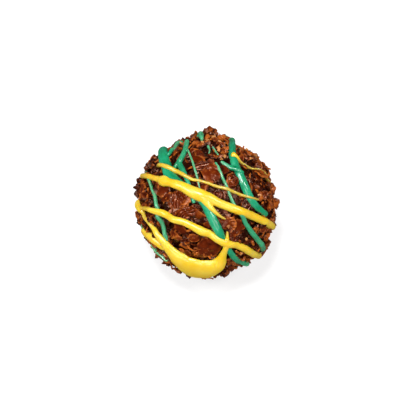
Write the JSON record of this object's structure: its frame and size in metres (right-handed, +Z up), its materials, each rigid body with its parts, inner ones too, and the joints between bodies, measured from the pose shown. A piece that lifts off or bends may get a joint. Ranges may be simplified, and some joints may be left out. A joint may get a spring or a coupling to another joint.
{
  "type": "chocolate praline",
  "caption": "Round hand-rolled chocolate praline, rolled in chocolate shavings and crumbs and drizzled with yellow and green chocolate, standing on a small flat spot.",
  "frame": {"origin": "middle of the small flat spot that the praline stands on", "axes": "+Z up out of the flat spot, -Y towards the side that the drizzle's large loop hangs over, +X to the right as seen from there"},
  "size_m": [0.0359, 0.0355, 0.0317],
  "materials": {
    "chocolate": "satin",
    "yellow_chocolate": "satin",
    "green_chocolate": "satin"
  },
  "bodies": {
    "root": {"praline": "chocolate"}
  },
  "joints": []
}
